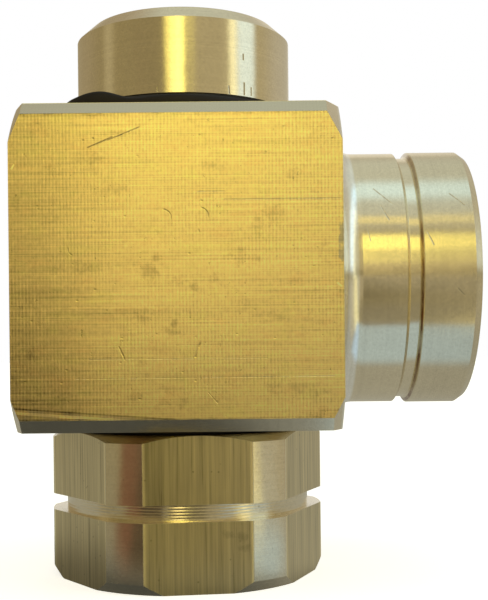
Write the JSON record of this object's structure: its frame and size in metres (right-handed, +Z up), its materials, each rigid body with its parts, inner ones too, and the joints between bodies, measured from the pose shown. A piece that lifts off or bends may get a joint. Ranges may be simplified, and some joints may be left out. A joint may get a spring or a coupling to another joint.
{
  "type": "hydraulic rotary union",
  "caption": "Right-angle swivel fitting: a square brass block with a round side port turns on a hexagon inlet with a closed round cap on top.",
  "frame": {"origin": "centre of the rotor's lower end face, where its threaded port opens, on the axis of rotation", "axes": "+Z up the axis of rotation towards the cap, +X along the side port and out of its mouth, -Y is the front"},
  "size_m": [0.0647, 0.045, 0.0827],
  "materials": {
    "housing_brass": "drawn and turned brass, satin",
    "rotor_brass": "drawn hexagon brass with turned ends",
    "cap_brass": "turned brass, satin",
    "black_rubber": "matt black nitrile",
    "seal_rubber": "smooth black nitrile",
    "seal_plastic": "bronze-filled slippery plastic",
    "bearing_plastic": "natural acetal",
    "soft_plastic": "natural nylon",
    "black_steel": "blackened screw steel",
    "bright_steel": "ground spring steel"
  },
  "bodies": {
    "housing": {"housing": "housing_brass", "lower_thrust_washer": "bearing_plastic", "lower_dust_ring": "black_rubber"},
    "rotor": {"rotor": "rotor_brass", "end_cap": "cap_brass", "cap_lock_screw": "black_steel", "cap_lock_pad": "soft_plastic", "shim_washer": "bright_steel", "upper_thrust_washer": "bearing_plastic", "upper_dust_ring": "black_rubber", "upper_seal_ring": "seal_plastic", "upper_seal_o_ring": "seal_rubber", "upper_wear_ring": "bearing_plastic", "upper_leak_o_ring": "seal_rubber", "upper_backup_ring": "seal_plastic", "lower_seal_ring": "seal_plastic", "lower_seal_o_ring": "seal_rubber", "lower_wear_ring": "bearing_plastic", "lower_leak_o_ring": "seal_rubber", "lower_backup_ring": "seal_plastic"}
  },
  "joints": [
    {"name": "rotor_spin", "type": "hinge", "parent": "housing", "child": "rotor", "pos_m": [0, 0, 0.0446], "axis": [0, 0, 1], "continuous": true}
  ]
}
